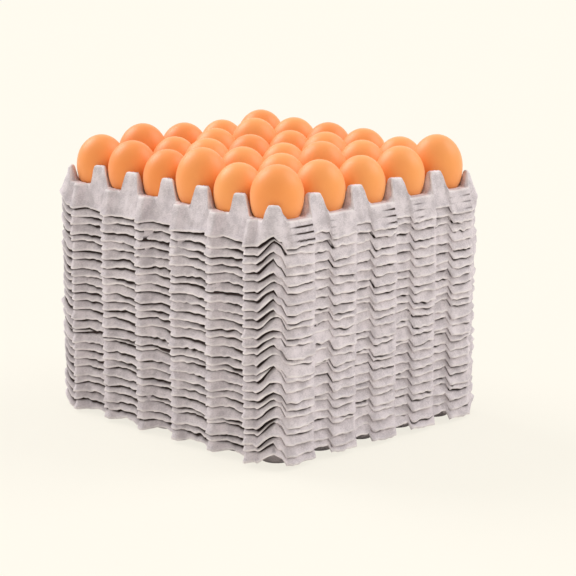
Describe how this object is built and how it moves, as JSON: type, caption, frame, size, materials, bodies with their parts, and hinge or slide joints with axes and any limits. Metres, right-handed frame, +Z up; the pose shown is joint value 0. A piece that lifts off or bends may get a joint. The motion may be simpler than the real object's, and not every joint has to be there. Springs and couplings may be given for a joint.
{
  "type": "stack of pulp egg trays",
  "caption": "Tall stack of nested moulded pulp egg trays with tapered cups and hollow posts, the top tray filled with brown eggs.",
  "frame": {"origin": "on the floor, under the middle of the stack", "axes": "+Z up, +X along the side with six cells, +Y along the side with five"},
  "size_m": [0.3004, 0.2726, 0.2611],
  "materials": {
    "pulp": "rough grey moulded paper pulp",
    "eggshell": "brown eggshell with a soft sheen"
  },
  "bodies": {
    "root": {"tray_01": "pulp", "tray_02": "pulp", "tray_03": "pulp", "tray_04": "pulp", "tray_05": "pulp", "tray_06": "pulp", "tray_07": "pulp", "tray_08": "pulp", "tray_09": "pulp", "tray_10": "pulp", "tray_11": "pulp", "tray_12": "pulp", "tray_13": "pulp", "tray_14": "pulp", "tray_15": "pulp", "tray_16": "pulp", "tray_17": "pulp", "tray_18": "pulp", "tray_19": "pulp", "tray_20": "pulp", "tray_21": "pulp", "tray_22": "pulp", "tray_23": "pulp", "tray_24": "pulp", "tray_25": "pulp", "egg_a1": "eggshell", "egg_a2": "eggshell", "egg_a3": "eggshell", "egg_a4": "eggshell", "egg_a5": "eggshell", "egg_a6": "eggshell", "egg_b1": "eggshell", "egg_b2": "eggshell", "egg_b3": "eggshell", "egg_b4": "eggshell", "egg_b5": "eggshell", "egg_b6": "eggshell", "egg_c1": "eggshell", "egg_c2": "eggshell", "egg_c3": "eggshell", "egg_c4": "eggshell", "egg_c5": "eggshell", "egg_c6": "eggshell", "egg_d1": "eggshell", "egg_d2": "eggshell", "egg_d3": "eggshell", "egg_d4": "eggshell", "egg_d5": "eggshell", "egg_d6": "eggshell", "egg_e1": "eggshell", "egg_e2": "eggshell", "egg_e3": "eggshell", "egg_e4": "eggshell", "egg_e5": "eggshell", "egg_e6": "eggshell"}
  },
  "joints": []
}
